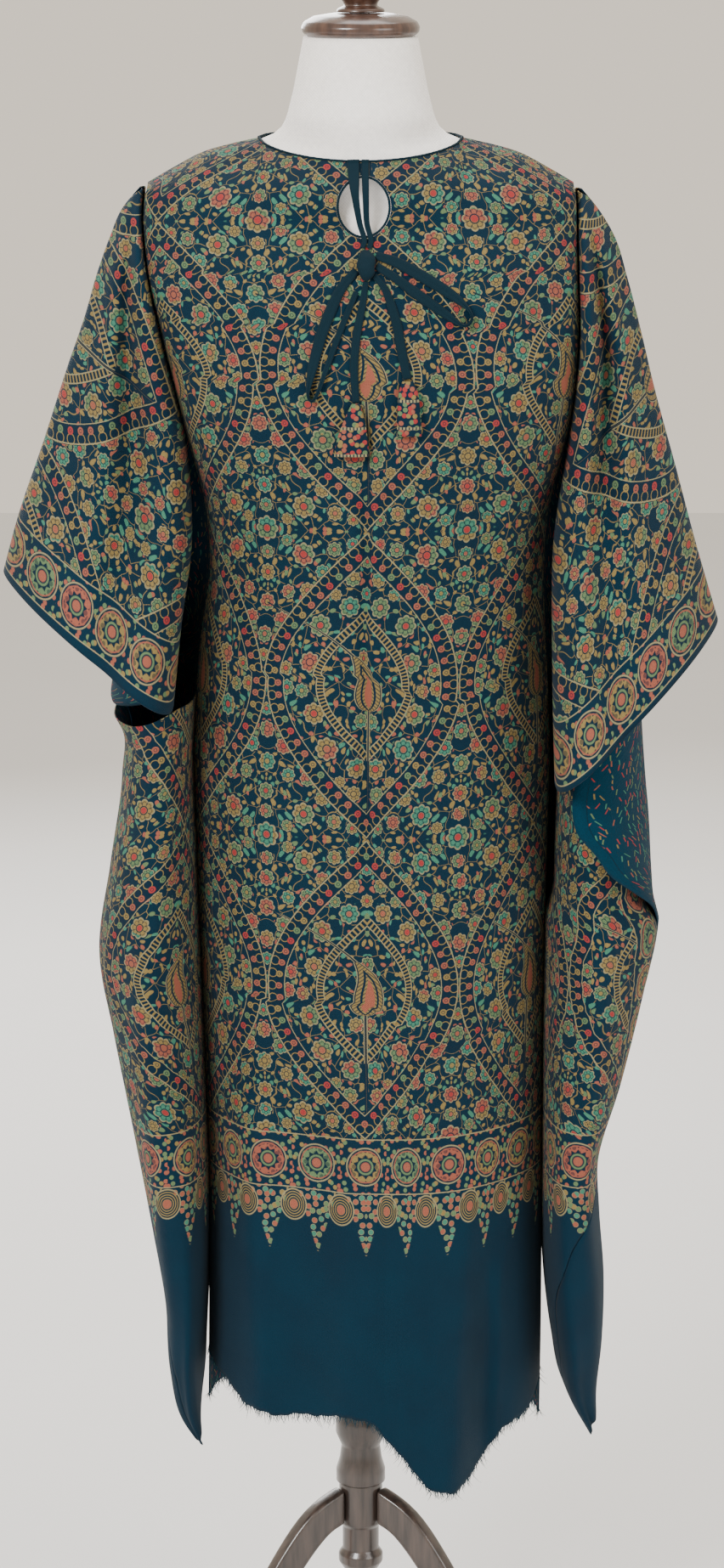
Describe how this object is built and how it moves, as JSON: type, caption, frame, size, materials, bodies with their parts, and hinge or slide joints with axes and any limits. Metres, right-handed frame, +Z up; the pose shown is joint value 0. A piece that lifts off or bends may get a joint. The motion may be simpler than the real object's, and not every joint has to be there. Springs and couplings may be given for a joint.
{
  "type": "shawl kaftan on a limbless dress form and stand",
  "caption": "Loose embroidered kaftan made from a folded shawl, with open sleeves, pointed side wings and a keyhole neck tied in a bow, worn by a limbless dress form on a turned stand.",
  "frame": {"origin": "centre of the bounding box on the floor", "axes": "+Z up along the stand, -Y towards the front of the garment, +X towards the right of the picture"},
  "size_m": [0.5999, 0.3718, 1.5337],
  "materials": {
    "shawl_cloth": "fine wool, embroidered",
    "tie_cloth": "plain woven wool",
    "form_cloth": "matt white jersey",
    "dark_wood": "turned, gloss varnish",
    "stand_wood": "turned, dark gloss varnish"
  },
  "bodies": {
    "root": {"front_panel": "shawl_cloth", "back_panel": "shawl_cloth", "sleeve_front_left": "shawl_cloth", "sleeve_front_right": "shawl_cloth", "wing_front_left": "shawl_cloth", "wing_front_right": "shawl_cloth", "sleeve_wing_back_left": "shawl_cloth", "sleeve_wing_back_right": "shawl_cloth", "tassel_left": "shawl_cloth", "tassel_right": "shawl_cloth", "hem_fray_front": "shawl_cloth", "hem_fray_back": "shawl_cloth", "neck_binding": "tie_cloth", "keyhole_binding": "tie_cloth", "tie_strap_left": "tie_cloth", "tie_strap_right": "tie_cloth", "tie_knot": "tie_cloth", "bow_loop_left": "tie_cloth", "bow_loop_right": "tie_cloth", "tie_tail_left": "tie_cloth", "tie_tail_right": "tie_cloth", "form_torso": "form_cloth", "neck_cap": "dark_wood", "finial": "dark_wood", "column": "stand_wood", "hub": "stand_wood", "leg_right": "stand_wood", "leg_left": "stand_wood", "leg_back": "stand_wood"}
  },
  "joints": []
}
